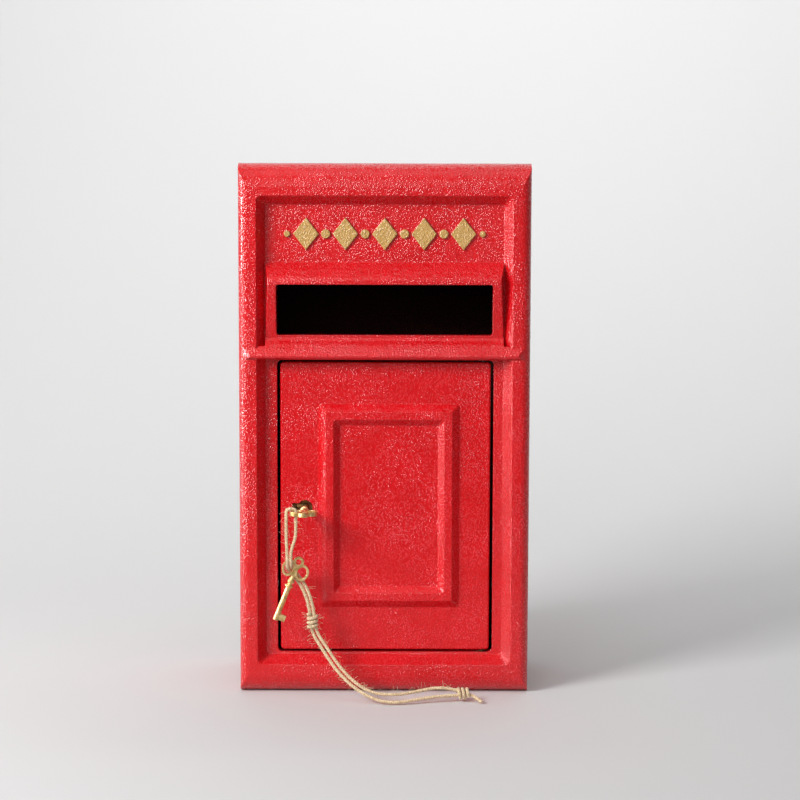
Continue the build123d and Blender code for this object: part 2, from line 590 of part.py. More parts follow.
LOOP_X = KEY_X - 9.0
LOOP_R = 3.4
LOOP_Z = KEY_Z + BOW_T / 2 + 0.05 + TWINE_D / 2 - LOOP_R
LOOP_END_Z = 121.5
LOOP_Y = KEY_TIP_Y - RING_Z
loop_route = [
    (LOOP_X - LOOP_R, LOOP_Y, LOOP_END_Z),
    (LOOP_X - LOOP_R, LOOP_Y, LOOP_Z + LOOP_R),
    (LOOP_X + LOOP_R, LOOP_Y, LOOP_Z + LOOP_R),
    (LOOP_X + LOOP_R, LOOP_Y, LOOP_END_Z),
]
left_route = [
    (LOOP_X - LOOP_R, LOOP_Y, LOOP_END_Z),
    (LOOP_X - LOOP_R, LOOP_Y, 116.5),
    (KEY_X - 11.9, -70.6, 107.5),
    (KEY_X - 11.6, -71.6, 97.4),
    (KEY_X - 11.9, -61.4, 92.6),
    (KEY_X - 4.2, -61.8, 83.4),
    (KEY_X + 1.0, -64.2, 74.6),
    (KEY_X + 4.4, -66.0, 62.1),
    (KEY_X + 4.8, -66.2, 48.5),
    (KEY_X + 13.4, -69.0, 35.2),
    (KEY_X + 23.0, -73.0, 21.5),
    (KEY_X + 34.8, -79.0, 10.9),
    (KEY_X + 46.6, -84.5, 4.9),
    (KEY_X + 56.2, -88.5, 2.4),
    (KEY_X + 68.3, -89.0, 1.9),
    (KEY_X + 81.0, -85.5, 3.4),
    (KEY_X + 95.8, -80.5, 4.6),
    (KEY_X + 111.0, -78.0, 4.6),
]
right_route = [
    (LOOP_X + LOOP_R, LOOP_Y, LOOP_END_Z),
    (LOOP_X + LOOP_R, LOOP_Y, 116.5),
    (KEY_X - 9.2, -70.6, 107.5),
    (KEY_X - 9.0, -71.6, 97.1),
    (KEY_X - 9.3, -61.4, 93.4),
    (KEY_X - 2.0, -61.8, 85.4),
    (KEY_X + 3.6, -64.2, 75.8),
    (KEY_X + 7.1, -66.0, 62.3),
    (KEY_X + 7.6, -66.4, 49.5),
    (KEY_X + 16.2, -69.0, 37.2),
    (KEY_X + 25.4, -73.0, 23.9),
    (KEY_X + 36.6, -79.0, 13.6),
    (KEY_X + 47.6, -83.0, 7.9),
    (KEY_X + 58.3, -84.6, 6.4),
    (KEY_X + 68.2, -84.4, 6.6),
    (KEY_X + 81.0, -81.5, 8.2),
    (KEY_X + 92.0, -79.0, 10.0),
    (KEY_X + 103.0, -78.0, 10.0),
    (KEY_X + 111.0, -78.0, 7.6),
]
tail_route = [
    (KEY_X + 114.0, -78.0, 5.8),
    (KEY_X + 119.4, -79.0, 5.2),
    (KEY_X + 123.2, -81.8, 3.4),
    (KEY_X + 126.6, -86.0, 1.8),
]

with BuildPart() as twine_loop:
    with BuildLine() as path:
        FilletPolyline(*loop_route, radius=LOOP_R - 0.05)
    with BuildSketch(Plane(origin=path.line @ 0, z_dir=path.line % 0)):
        Circle(TWINE_D / 2)
    sweep()
twine_loop.part.label = "twine_loop"

with BuildPart() as twine_left:
    with BuildLine() as path:
        FilletPolyline(*left_route, radius=bend_radii(left_route))
    with BuildSketch(Plane(origin=path.line @ 0, z_dir=path.line % 0)):
        Circle(TWINE_D / 2)
    sweep()
twine_left.part.label = "twine_left"
print("left route radii", [round(r, 1) for r in bend_radii(left_route)], "length", round(path.wire().length, 1))
print("left volume share", round(twine_left.part.volume / (path.wire().length * pi * TWINE_D**2 / 4), 4))

with BuildPart() as twine_right:
    with BuildLine() as path:
        FilletPolyline(*right_route, radius=bend_radii(right_route))
    with BuildSketch(Plane(origin=path.line @ 0, z_dir=path.line % 0)):
        Circle(TWINE_D / 2)
    sweep()
twine_right.part.label = "twine_right"
print("right route radii", [round(r, 1) for r in bend_radii(right_route)], "length", round(path.wire().length, 1))
print("right volume share", round(twine_right.part.volume / (path.wire().length * pi * TWINE_D**2 / 4), 4))

with BuildPart() as tail_tube:
    with BuildLine() as path:
        FilletPolyline(*tail_route, radius=bend_radii(tail_route))
    with BuildSketch(Plane(origin=path.line @ 0, z_dir=path.line % 0)):
        Circle(TWINE_D / 2)
    sweep()

# Upper knot: the turns of twine round both strands, drawn as one rounded lump
with BuildPart() as knot_upper:
    with Locations(Location((KEY_X + 6.0, -66.1, 55.6), (0, -2, 0))):
        Cylinder(4.6, 13.0)
    fillet(knot_upper.edges(), 3.6)
    add(twine_left.part, mode=Mode.SUBTRACT)
    add(twine_right.part, mode=Mode.SUBTRACT)
knot_upper.part.label = "knot_upper"

# Lower knot with the cut ends of the twine
with BuildPart() as knot_lower:
    with Locations(Location((KEY_X + 113.4, -78.0, 5.9), (0, 90, 0))):
        Cylinder(4.8, 10.0)
    fillet(knot_lower.edges(), 3.4)
    add(tail_tube.part)
    add(twine_left.part, mode=Mode.SUBTRACT)
    add(twine_right.part, mode=Mode.SUBTRACT)
knot_lower.part.label = "knot_lower"

for piece in (
    front_frame, body_shell, back_plate, frame_screws, back_screws, door, hinge_pin_upper, hinge_pin_lower,
    hinge_washer, lock_case, lock_cover, drill_pin, lock_bolt, bolt_spring, lock_screws, cover_screws, key,
    spare_key, twine_loop, twine_left, twine_right, knot_upper, knot_lower,
):
    print(piece.part.label, "solids", len(piece.part.solids()), "volume", round(piece.part.volume, 1))
    export_step(piece.part, f"parts/{piece.part.label}.step")
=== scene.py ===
"""Looks for the cast iron letter box: red enamel, gilt ornament, brass lock and keys, jute twine."""

import math

import bpy
from mathutils import Euler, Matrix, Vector


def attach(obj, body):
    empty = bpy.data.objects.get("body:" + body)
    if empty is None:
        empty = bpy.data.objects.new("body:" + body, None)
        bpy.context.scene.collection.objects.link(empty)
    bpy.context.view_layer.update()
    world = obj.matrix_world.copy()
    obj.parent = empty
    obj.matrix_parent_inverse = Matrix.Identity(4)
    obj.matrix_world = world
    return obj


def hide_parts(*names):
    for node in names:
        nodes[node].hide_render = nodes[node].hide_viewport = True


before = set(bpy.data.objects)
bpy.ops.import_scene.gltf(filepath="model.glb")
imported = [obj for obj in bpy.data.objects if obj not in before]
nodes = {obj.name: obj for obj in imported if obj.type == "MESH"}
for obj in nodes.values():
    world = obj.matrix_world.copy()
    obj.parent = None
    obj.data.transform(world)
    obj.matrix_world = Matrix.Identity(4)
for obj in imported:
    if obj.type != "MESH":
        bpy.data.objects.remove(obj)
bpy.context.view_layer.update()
scene = bpy.context.scene

# Wear shared by the metal pieces: a normal with rounded edges, round sand grains that come up through the
# enamel in patches, and slow waves. Bumps tells how proud a grain stands.
cast_grain = bpy.data.node_groups.new("cast_grain", "ShaderNodeTree")
face = cast_grain.interface
face.new_socket("Edge radius", in_out="INPUT", socket_type="NodeSocketFloat").default_value = 0.0007
face.new_socket("Grain", in_out="INPUT", socket_type="NodeSocketFloat").default_value = 0.3
face.new_socket("Grain scale", in_out="INPUT", socket_type="NodeSocketFloat").default_value = 900.0
face.new_socket("Waves", in_out="INPUT", socket_type="NodeSocketFloat").default_value = 0.2
face.new_socket("Normal", in_out="OUTPUT", socket_type="NodeSocketVector")
face.new_socket("Bumps", in_out="OUTPUT", socket_type="NodeSocketFloat")
n, link = cast_grain.nodes, cast_grain.links.new
inp = n.new("NodeGroupInput")
out = n.new("NodeGroupOutput")
coords = n.new("ShaderNodeTexCoord")
bevel = n.new("ShaderNodeBevel")
bevel.samples = 8
fine = n.new("ShaderNodeTexVoronoi")
slow = n.new("ShaderNodeTexNoise")
slow.inputs["Scale"].default_value = 230.0
slow.inputs["Detail"].default_value = 2.0
patches = n.new("ShaderNodeTexNoise")
patches.inputs["Scale"].default_value = 28.0
patches.inputs["Detail"].default_value = 3.0
thick = n.new("ShaderNodeMapRange")
thick.inputs["From Min"].default_value = 0.35
thick.inputs["From Max"].default_value = 0.62
thick.inputs["To Min"].default_value = 0.45
thick.inputs["To Max"].default_value = 1.25
proud_grains = n.new("ShaderNodeMapRange")
proud_grains.interpolation_type = "SMOOTHSTEP"
proud_grains.inputs["From Min"].default_value = 0.1
proud_grains.inputs["From Max"].default_value = 0.62
proud_grains.inputs["To Min"].default_value = 1.0
proud_grains.inputs["To Max"].default_value = 0.0
sand = n.new("ShaderNodeMath")
sand.operation = "MULTIPLY"
bump_slow = n.new("ShaderNodeBump")
bump_slow.inputs["Distance"].default_value = 0.0016
bump_fine = n.new("ShaderNodeBump")
bump_fine.inputs["Distance"].default_value = 0.0009
link(coords.outputs["Object"], fine.inputs["Vector"])
link(coords.outputs["Object"], slow.inputs["Vector"])
link(coords.outputs["Object"], patches.inputs["Vector"])
link(patches.outputs["Fac"], thick.inputs["Value"])
link(fine.outputs["Distance"], proud_grains.inputs["Value"])
link(proud_grains.outputs["Result"], sand.inputs[0])
link(thick.outputs["Result"], sand.inputs[1])
link(inp.outputs["Grain scale"], fine.inputs["Scale"])
link(inp.outputs["Edge radius"], bevel.inputs["Radius"])
link(bevel.outputs["Normal"], bump_slow.inputs["Normal"])
link(slow.outputs["Fac"], bump_slow.inputs["Height"])
link(inp.outputs["Waves"], bump_slow.inputs["Strength"])
link(bump_slow.outputs["Normal"], bump_fine.inputs["Normal"])
link(sand.outputs[0], bump_fine.inputs["Height"])
link(inp.outputs["Grain"], bump_fine.inputs["Strength"])
link(bump_fine.outputs["Normal"], out.inputs["Normal"])
link(sand.outputs[0], out.inputs["Bumps"])

# Front casting: gloss red enamel, thick enough to soften the sandy iron. The ornament is brushed with gold,
# and the inside is near-black painted shade. It is bolted to the body from inside.
front_mat = bpy.data.materials.new("red_enamel_front")
front_mat.use_nodes = True
n, link = front_mat.node_tree.nodes, front_mat.node_tree.links.new
red = n["Principled BSDF"]
red.inputs["Coat Roughness"].default_value = 0.09
grain = n.new("ShaderNodeGroup")
grain.node_tree = cast_grain
grain.inputs["Edge radius"].default_value = 0.0014
grain.inputs["Grain"].default_value = 0.46
grain.inputs["Grain scale"].default_value = 760.0
grain.inputs["Waves"].default_value = 0.36
coords = n.new("ShaderNodeTexCoord")
split = n.new("ShaderNodeSeparateXYZ")
link(coords.outputs["Object"], split.inputs["Vector"])
tone = n.new("ShaderNodeTexNoise")
tone.inputs["Scale"].default_value = 60.0
tone.inputs["Detail"].default_value = 4.0
link(coords.outputs["Object"], tone.inputs["Vector"])
reds = n.new("ShaderNodeValToRGB")
reds.color_ramp.elements[0].position = 0.3
reds.color_ramp.elements[0].color = (0.66, 0.0022, 0.0055, 1)
reds.color_ramp.elements[1].position = 0.72
reds.color_ramp.elements[1].color = (0.74, 0.0035, 0.0085, 1)
link(tone.outputs["Fac"], reds.inputs["Fac"])
# painted highlights: grain tops are multiplied lighter and pinker, and painted shade darkens the hollows
# between grains
glint_shade_ramp = n.new("ShaderNodeValToRGB")
glint_shade_ramp.color_ramp.elements[0].position = 0.0
glint_shade_ramp.color_ramp.elements[0].color = (0.88, 0.8, 0.8, 1)
glint_shade_ramp.color_ramp.elements[1].position = 0.95
glint_shade_ramp.color_ramp.elements[1].color = (1.1, 10.0, 6.0, 1)
neutral_stop = glint_shade_ramp.color_ramp.elements.new(0.34)
neutral_stop.color = (1.0, 1.0, 1.0, 1)
link(grain.outputs["Bumps"], glint_shade_ramp.inputs["Fac"])
glint_shaded_red = n.new("ShaderNodeMix")
glint_shaded_red.data_type = "RGBA"
glint_shaded_red.blend_type = "MULTIPLY"
glint_shaded_red.inputs["Factor"].default_value = 1.0
link(reds.outputs["Color"], glint_shaded_red.inputs["A"])
link(glint_shade_ramp.outputs["Color"], glint_shaded_red.inputs["B"])
# one mask for the band that holds the ornament, one for the inside, which gets near-black painted shade
ornament_low, ornament_high, ornament_half = 0.3175, 0.3445, 0.078
inside_y, inside_half, inside_low, inside_high = -0.0385, 0.0985, 0.0045, 0.3745
masks = []
for tests in (
    (("Z", "GREATER_THAN", ornament_low), ("Z", "LESS_THAN", ornament_high),
     ("X", "GREATER_THAN", -ornament_half), ("X", "LESS_THAN", ornament_half)),
    (("Z", "GREATER_THAN", inside_low), ("Z", "LESS_THAN", inside_high), ("X", "GREATER_THAN", -inside_half),
     ("X", "LESS_THAN", inside_half), ("Y", "GREATER_THAN", inside_y)),
):
    mask = None
    for axis, test, limit in tests:
        part = n.new("ShaderNodeMath")
        part.operation = test
        part.inputs[1].default_value = limit
        link(split.outputs[axis], part.inputs[0])
        if mask:
            joined = n.new("ShaderNodeMath")
            joined.operation = "MULTIPLY"
            link(mask.outputs[0], joined.inputs[0])
            link(part.outputs[0], joined.inputs[1])
            part = joined
        mask = part
    masks.append(mask)
band, inside_shade = masks
# gold where the ornament stands proud of the sunk field, with a brushed edge
speck = n.new("ShaderNodeTexNoise")
speck.inputs["Scale"].default_value = 800.0
speck.inputs["Detail"].default_value = 2.0
link(coords.outputs["Object"], speck.inputs["Vector"])
ragged = n.new("ShaderNodeMath")
ragged.operation = "MULTIPLY_ADD"
ragged.inputs[1].default_value = 0.0007
ragged.inputs[2].default_value = -0.0459
proud = n.new("ShaderNodeMath")
proud.operation = "LESS_THAN"
gilt = n.new("ShaderNodeMath")
gilt.operation = "MULTIPLY"
link(speck.outputs["Fac"], ragged.inputs[0])
link(split.outputs["Y"], proud.inputs[0])
link(ragged.outputs[0], proud.inputs[1])
link(band.outputs[0], gilt.inputs[0])
link(proud.outputs[0], gilt.inputs[1])
gold = n.new("ShaderNodeValToRGB")
gold.color_ramp.elements[0].position = 0.35
gold.color_ramp.elements[0].color = (0.50, 0.28, 0.075, 1)
gold.color_ramp.elements[1].position = 0.7
gold.color_ramp.elements[1].color = (0.68, 0.43, 0.15, 1)
link(speck.outputs["Fac"], gold.inputs["Fac"])
painted = n.new("ShaderNodeMix")
painted.data_type = "RGBA"
link(gilt.outputs[0], painted.inputs["Factor"])
link(glint_shaded_red.outputs["Result"], painted.inputs["A"])
link(gold.outputs["Color"], painted.inputs["B"])
final = n.new("ShaderNodeMix")
final.data_type = "RGBA"
link(inside_shade.outputs[0], final.inputs["Factor"])
link(painted.outputs["Result"], final.inputs["A"])
# near-black painted shade over the inside
final.inputs["B"].default_value = (0.035, 0.012, 0.010, 1)
rough = n.new("ShaderNodeMapRange")
rough.inputs["To Min"].default_value = 0.24
rough.inputs["To Max"].default_value = 0.40
link(tone.outputs["Fac"], rough.inputs["Value"])
# no gloss on the inside, which is painted shade
gloss = n.new("ShaderNodeMapRange")
gloss.inputs["To Min"].default_value = 0.95
gloss.inputs["To Max"].default_value = 0.0
link(inside_shade.outputs[0], gloss.inputs["Value"])
dim = n.new("ShaderNodeMath")
dim.operation = "MULTIPLY"
dim.inputs[1].default_value = 0.12
link(gloss.outputs["Result"], dim.inputs[0])
link(dim.outputs[0], red.inputs["Specular IOR Level"])
link(gloss.outputs["Result"], red.inputs["Coat Weight"])
link(final.outputs["Result"], red.inputs["Base Color"])
link(rough.outputs["Result"], red.inputs["Roughness"])
link(grain.outputs["Normal"], red.inputs["Normal"])
link(grain.outputs["Normal"], red.inputs["Coat Normal"])
for slot in nodes["front_frame"].material_slots:
    slot.material = front_mat

# Door: the same enamel on a flatter, cleaner casting. It hangs on two pins at its right edge.
door_mat = bpy.data.materials.new("red_enamel_door")
door_mat.use_nodes = True
n, link = door_mat.node_tree.nodes, door_mat.node_tree.links.new
red = n["Principled BSDF"]
red.inputs["Specular IOR Level"].default_value = 0.1
red.inputs["Coat Weight"].default_value = 0.75
red.inputs["Coat Roughness"].default_value = 0.09
grain = n.new("ShaderNodeGroup")
grain.node_tree = cast_grain
grain.inputs["Grain"].default_value = 0.42
grain.inputs["Grain scale"].default_value = 760.0
grain.inputs["Waves"].default_value = 0.26
grain.inputs["Edge radius"].default_value = 0.0012
coords = n.new("ShaderNodeTexCoord")
tone = n.new("ShaderNodeTexNoise")
tone.inputs["Scale"].default_value = 55.0
tone.inputs["Detail"].default_value = 4.0
link(coords.outputs["Object"], tone.inputs["Vector"])
reds = n.new("ShaderNodeValToRGB")
reds.color_ramp.elements[0].position = 0.3
reds.color_ramp.elements[0].color = (0.67, 0.0024, 0.006, 1)
reds.color_ramp.elements[1].position = 0.72
reds.color_ramp.elements[1].color = (0.75, 0.0038, 0.009, 1)
link(tone.outputs["Fac"], reds.inputs["Fac"])
rough = n.new("ShaderNodeMapRange")
rough.inputs["To Min"].default_value = 0.24
rough.inputs["To Max"].default_value = 0.42
link(tone.outputs["Fac"], rough.inputs["Value"])
# painted highlights: grain tops are multiplied lighter and pinker, and painted shade darkens the hollows
# between grains
glint_shade_ramp = n.new("ShaderNodeValToRGB")
glint_shade_ramp.color_ramp.elements[0].position = 0.0
glint_shade_ramp.color_ramp.elements[0].color = (0.88, 0.8, 0.8, 1)
glint_shade_ramp.color_ramp.elements[1].position = 0.95
glint_shade_ramp.color_ramp.elements[1].color = (1.1, 10.0, 6.0, 1)
neutral_stop = glint_shade_ramp.color_ramp.elements.new(0.34)
neutral_stop.color = (1.0, 1.0, 1.0, 1)
link(grain.outputs["Bumps"], glint_shade_ramp.inputs["Fac"])
glint_shaded_red = n.new("ShaderNodeMix")
glint_shaded_red.data_type = "RGBA"
glint_shaded_red.blend_type = "MULTIPLY"
glint_shaded_red.inputs["Factor"].default_value = 1.0
link(reds.outputs["Color"], glint_shaded_red.inputs["A"])
link(glint_shade_ramp.outputs["Color"], glint_shaded_red.inputs["B"])
link(glint_shaded_red.outputs["Result"], red.inputs["Base Color"])
link(rough.outputs["Result"], red.inputs["Roughness"])
link(grain.outputs["Normal"], red.inputs["Normal"])
link(grain.outputs["Normal"], red.inputs["Coat Normal"])
for slot in nodes["door"].material_slots:
    slot.material = door_mat

# Body and back plate: red enamel outside, rougher and less glossy than the front, and near-black painted
# shade inside.
# Four screws hold the front casting to the body, and four hold the back plate.
for name, wall_x, wall_y, low_z, high_z in (
    ("body_shell", 0.0985, 0.052, 0.0035, 0.3755),
    ("back_plate", 0.0985, 0.0512, 0.0, 0.380),
):
    shell_mat = bpy.data.materials.new("red_enamel_" + name)
    shell_mat.use_nodes = True
    n, link = shell_mat.node_tree.nodes, shell_mat.node_tree.links.new
    red = n["Principled BSDF"]
    red.inputs["Coat Roughness"].default_value = 0.2
    grain = n.new("ShaderNodeGroup")
    grain.node_tree = cast_grain
    grain.inputs["Grain"].default_value = 0.6
    grain.inputs["Grain scale"].default_value = 560.0
    grain.inputs["Waves"].default_value = 0.3
    coords = n.new("ShaderNodeTexCoord")
    split = n.new("ShaderNodeSeparateXYZ")
    link(coords.outputs["Object"], split.inputs["Vector"])
    # mask for the inside, which gets near-black painted shade
    mask = None
    for axis, test, limit in (
        ("X", "LESS_THAN", wall_x), ("X", "GREATER_THAN", -wall_x), ("Y", "LESS_THAN", wall_y),
        ("Y", "GREATER_THAN", -0.0295), ("Z", "GREATER_THAN", low_z), ("Z", "LESS_THAN", high_z),
    ):
        part = n.new("ShaderNodeMath")
        part.operation = test
        part.inputs[1].default_value = limit
        link(split.outputs[axis], part.inputs[0])
        if mask:
            joined = n.new("ShaderNodeMath")
            joined.operation = "MULTIPLY"
            link(mask.outputs[0], joined.inputs[0])
            link(part.outputs[0], joined.inputs[1])
            part = joined
        mask = part
    tone = n.new("ShaderNodeTexNoise")
    tone.inputs["Scale"].default_value = 45.0
    tone.inputs["Detail"].default_value = 5.0
    link(coords.outputs["Object"], tone.inputs["Vector"])
    reds = n.new("ShaderNodeValToRGB")
    reds.color_ramp.elements[0].position = 0.3
    reds.color_ramp.elements[0].color = (0.60, 0.0022, 0.005, 1)
    reds.color_ramp.elements[1].position = 0.72
    reds.color_ramp.elements[1].color = (0.70, 0.0035, 0.008, 1)
    link(tone.outputs["Fac"], reds.inputs["Fac"])
    final = n.new("ShaderNodeMix")
    final.data_type = "RGBA"
    link(mask.outputs[0], final.inputs["Factor"])
    # painted highlights: grain tops are multiplied lighter and pinker, and painted shade darkens the hollows
    # between grains
    glint_shade_ramp = n.new("ShaderNodeValToRGB")
    glint_shade_ramp.color_ramp.elements[0].position = 0.0
    glint_shade_ramp.color_ramp.elements[0].color = (0.7, 0.6, 0.6, 1)
    glint_shade_ramp.color_ramp.elements[1].position = 0.95
    glint_shade_ramp.color_ramp.elements[1].color = (1.1, 10.0, 6.0, 1)
    neutral_stop = glint_shade_ramp.color_ramp.elements.new(0.34)
    neutral_stop.color = (1.0, 1.0, 1.0, 1)
    link(grain.outputs["Bumps"], glint_shade_ramp.inputs["Fac"])
    glint_shaded_red = n.new("ShaderNodeMix")
    glint_shaded_red.data_type = "RGBA"
    glint_shaded_red.blend_type = "MULTIPLY"
    glint_shaded_red.inputs["Factor"].default_value = 1.0
    link(reds.outputs["Color"], glint_shaded_red.inputs["A"])
    link(glint_shade_ramp.outputs["Color"], glint_shaded_red.inputs["B"])
    link(glint_shaded_red.outputs["Result"], final.inputs["A"])
    # near-black painted shade over the inside
    final.inputs["B"].default_value = (0.035, 0.012, 0.010, 1)
    rough = n.new("ShaderNodeMapRange")
    rough.inputs["To Min"].default_value = 0.28
    rough.inputs["To Max"].default_value = 0.5
    link(tone.outputs["Fac"], rough.inputs["Value"])
    gloss = n.new("ShaderNodeMapRange")
    gloss.inputs["To Min"].default_value = 0.4
    gloss.inputs["To Max"].default_value = 0.0
    link(mask.outputs[0], gloss.inputs["Value"])
    link(gloss.outputs["Result"], red.inputs["Specular IOR Level"])
    link(gloss.outputs["Result"], red.inputs["Coat Weight"])
    link(final.outputs["Result"], red.inputs["Base Color"])
    link(rough.outputs["Result"], red.inputs["Roughness"])
    link(grain.outputs["Normal"], red.inputs["Normal"])
    link(grain.outputs["Normal"], red.inputs["Coat Normal"])
    for slot in nodes[name].material_slots:
        slot.material = shell_mat

# Lock, bolt, washer and keys: cast brass, stained in patches and brighter where it is rubbed. The lock is
# screwed to the back of the door; the keys are the cleanest, the washer is nearly black with grease.
for name, dark, bright, dull in (
    ("lock_case", (0.10, 0.055, 0.02), (0.28, 0.17, 0.07), 0.5),
    ("lock_cover", (0.12, 0.07, 0.025), (0.32, 0.20, 0.08), 0.45),
    ("hinge_washer", (0.02, 0.012, 0.005), (0.05, 0.03, 0.012), 0.6),
    ("lock_bolt", (0.20, 0.12, 0.045), (0.45, 0.30, 0.13), 0.35),
    ("key", (0.42, 0.25, 0.08), (0.86, 0.64, 0.30), 0.26),
    ("spare_key", (0.42, 0.25, 0.08), (0.86, 0.64, 0.30), 0.26),
):
    brass_mat = bpy.data.materials.new("brass_" + name)
    brass_mat.use_nodes = True
    n, link = brass_mat.node_tree.nodes, brass_mat.node_tree.links.new
    brass = n["Principled BSDF"]
    brass.inputs["Metallic"].default_value = 0.9
    grain = n.new("ShaderNodeGroup")
    grain.node_tree = cast_grain
    grain.inputs["Edge radius"].default_value = 0.0004
    grain.inputs["Grain"].default_value = 0.25
    grain.inputs["Grain scale"].default_value = 1500.0
    grain.inputs["Waves"].default_value = 0.08
    coords = n.new("ShaderNodeTexCoord")
    stain = n.new("ShaderNodeTexNoise")
    stain.inputs["Scale"].default_value = 260.0
    stain.inputs["Detail"].default_value = 5.0
    link(coords.outputs["Object"], stain.inputs["Vector"])
    tint = n.new("ShaderNodeValToRGB")
    tint.color_ramp.elements[0].position = 0.32
    tint.color_ramp.elements[0].color = (*dark, 1)
    tint.color_ramp.elements[1].position = 0.62
    tint.color_ramp.elements[1].color = (*bright, 1)
    link(stain.outputs["Fac"], tint.inputs["Fac"])
    rough = n.new("ShaderNodeMapRange")
    rough.inputs["To Min"].default_value = dull + 0.2
    rough.inputs["To Max"].default_value = dull
    link(stain.outputs["Fac"], rough.inputs["Value"])
    link(tint.outputs["Color"], brass.inputs["Base Color"])
    link(rough.outputs["Result"], brass.inputs["Roughness"])
    link(grain.outputs["Normal"], brass.inputs["Normal"])
    for slot in nodes[name].material_slots:
        slot.material = brass_mat

# Steel screws, drill pin and bolt spring: zinc plated and faintly blotched
steel_mat = bpy.data.materials.new("zinc_steel")
steel_mat.use_nodes = True
n, link = steel_mat.node_tree.nodes, steel_mat.node_tree.links.new
steel = n["Principled BSDF"]
steel.inputs["Metallic"].default_value = 1.0
grain = n.new("ShaderNodeGroup")
grain.node_tree = cast_grain
grain.inputs["Edge radius"].default_value = 0.0003
grain.inputs["Grain"].default_value = 0.15
grain.inputs["Grain scale"].default_value = 1800.0
grain.inputs["Waves"].default_value = 0.05
coords = n.new("ShaderNodeTexCoord")
spots = n.new("ShaderNodeTexNoise")
spots.inputs["Scale"].default_value = 500.0
spots.inputs["Detail"].default_value = 4.0
link(coords.outputs["Object"], spots.inputs["Vector"])
tint = n.new("ShaderNodeValToRGB")
tint.color_ramp.elements[0].position = 0.35
tint.color_ramp.elements[0].color = (0.26, 0.25, 0.23, 1)
tint.color_ramp.elements[1].position = 0.7
tint.color_ramp.elements[1].color = (0.55, 0.54, 0.51, 1)
link(spots.outputs["Fac"], tint.inputs["Fac"])
link(tint.outputs["Color"], steel.inputs["Base Color"])
steel.inputs["Roughness"].default_value = 0.38
link(grain.outputs["Normal"], steel.inputs["Normal"])
for name in ("frame_screws", "back_screws", "lock_screws", "cover_screws", "drill_pin", "bolt_spring"):
    for slot in nodes[name].material_slots:
        slot.material = steel_mat

# Hinge pins: greased black steel, rubbed brown in spots where the door turns on them
pin_mat = bpy.data.materials.new("black_steel")
pin_mat.use_nodes = True
n, link = pin_mat.node_tree.nodes, pin_mat.node_tree.links.new
pin = n["Principled BSDF"]
pin.inputs["Metallic"].default_value = 0.6
pin.inputs["Roughness"].default_value = 0.55
coords = n.new("ShaderNodeTexCoord")
rubbed = n.new("ShaderNodeTexNoise")
rubbed.inputs["Scale"].default_value = 420.0
rubbed.inputs["Detail"].default_value = 4.0
link(coords.outputs["Object"], rubbed.inputs["Vector"])
tint = n.new("ShaderNodeValToRGB")
tint.color_ramp.elements[0].position = 0.4
tint.color_ramp.elements[0].color = (0.012, 0.010, 0.009, 1)
tint.color_ramp.elements[1].position = 0.75
tint.color_ramp.elements[1].color = (0.045, 0.030, 0.022, 1)
link(rubbed.outputs["Fac"], tint.inputs["Fac"])
link(tint.outputs["Color"], pin.inputs["Base Color"])
for name in ("hinge_pin_upper", "hinge_pin_lower"):
    for slot in nodes[name].material_slots:
        slot.material = pin_mat

# Jute: pale straw fibres of uneven tone, with no gloss
jute_mat = bpy.data.materials.new("jute")
jute_mat.use_nodes = True
n, link = jute_mat.node_tree.nodes, jute_mat.node_tree.links.new
jute = n["Principled BSDF"]
jute.inputs["Roughness"].default_value = 0.9
jute.inputs["Specular IOR Level"].default_value = 0.2
jute.inputs["Sheen Weight"].default_value = 0.3
coords = n.new("ShaderNodeTexCoord")
fibre = n.new("ShaderNodeTexNoise")
fibre.inputs["Scale"].default_value = 1100.0
fibre.inputs["Detail"].default_value = 3.0
link(coords.outputs["Object"], fibre.inputs["Vector"])
straw = n.new("ShaderNodeValToRGB")
straw.color_ramp.elements[0].position = 0.3
straw.color_ramp.elements[0].color = (0.44, 0.29, 0.14, 1)
straw.color_ramp.elements[1].position = 0.66
straw.color_ramp.elements[1].color = (0.94, 0.77, 0.52, 1)
link(fibre.outputs["Fac"], straw.inputs["Fac"])
fuzz_bump = n.new("ShaderNodeBump")
fuzz_bump.inputs["Strength"].default_value = 0.6
fuzz_bump.inputs["Distance"].default_value = 0.0003
link(fibre.outputs["Fac"], fuzz_bump.inputs["Height"])
link(straw.outputs["Color"], jute.inputs["Base Color"])
link(fuzz_bump.outputs["Normal"], jute.inputs["Normal"])

# Twine lay: a route becomes three strands twisted round each other, with loose fibres standing off them
lay = bpy.data.node_groups.new("twisted_twine", "GeometryNodeTree")
face = lay.interface
face.new_socket("Route", in_out="INPUT", socket_type="NodeSocketGeometry")
for label, value in (
    ("Offset", 0.00064), ("Strand radius", 0.00058), ("Turns per metre", 170.0), ("Fibres", 1.3e5),
    ("Longest fibre", 2.8),
):
    face.new_socket(label, in_out="INPUT", socket_type="NodeSocketFloat").default_value = value
face.new_socket("Seed", in_out="INPUT", socket_type="NodeSocketInt").default_value = 3
face.new_socket("Loose fibres only", in_out="INPUT", socket_type="NodeSocketBool").default_value = False
face.new_socket("Material", in_out="INPUT", socket_type="NodeSocketMaterial")
face.new_socket("Twine", in_out="OUTPUT", socket_type="NodeSocketGeometry")
n, link = lay.nodes, lay.links.new
inp = n.new("NodeGroupInput")
out = n.new("NodeGroupOutput")
steps = n.new("GeometryNodeResampleCurve")
steps.mode = "LENGTH"
steps.inputs["Length"].default_value = 0.0006
thrice = n.new("GeometryNodeDuplicateElements")
thrice.domain = "SPLINE"
thrice.inputs["Amount"].default_value = 3
along = n.new("GeometryNodeSplineParameter")
tangent = n.new("GeometryNodeInputTangent")
normal = n.new("GeometryNodeInputNormal")
side = n.new("ShaderNodeVectorMath")
side.operation = "CROSS_PRODUCT"
turns = n.new("ShaderNodeMath")
